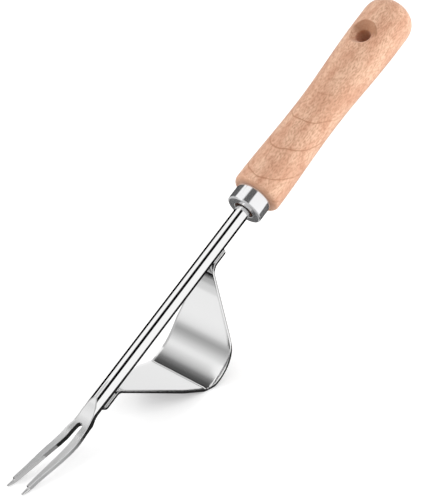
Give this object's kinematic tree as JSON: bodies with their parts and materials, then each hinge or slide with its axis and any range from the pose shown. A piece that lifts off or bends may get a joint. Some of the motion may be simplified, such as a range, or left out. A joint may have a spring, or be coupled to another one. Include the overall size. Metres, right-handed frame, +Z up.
{
  "type": "hand weeder",
  "caption": "Hand weeder: two-tine fork forged on a round steel rod, bent sheet fulcrum welded under it, chromed ferrule and turned wooden handle with a hanging hole.",
  "frame": {"origin": "centre of the footprint's box, on the ground that the tines and the fulcrum's belly stand on", "axes": "+X from the tine points towards the handle along the ground, +Y to the tool's left seen from the handle's butt, +Z up; the rod leans up by 27.8 degrees"},
  "size_m": [0.2973, 0.04, 0.1526],
  "materials": {
    "polished_steel": "polished stainless steel, finely brushed on the fork",
    "sheet_steel": "satin stainless sheet",
    "ferrule_chrome": "bright chrome",
    "beech": "turned beech, clear satin lacquer",
    "weld_metal": "cleaned weld bead",
    "epoxy": "cured clear amber epoxy"
  },
  "bodies": {
    "root": {"fork_shaft": "polished_steel", "fulcrum_plate": "sheet_steel", "ferrule": "ferrule_chrome", "handle": "beech", "front_weld": "weld_metal", "rear_weld": "weld_metal", "tang_epoxy": "epoxy"}
  },
  "joints": []
}
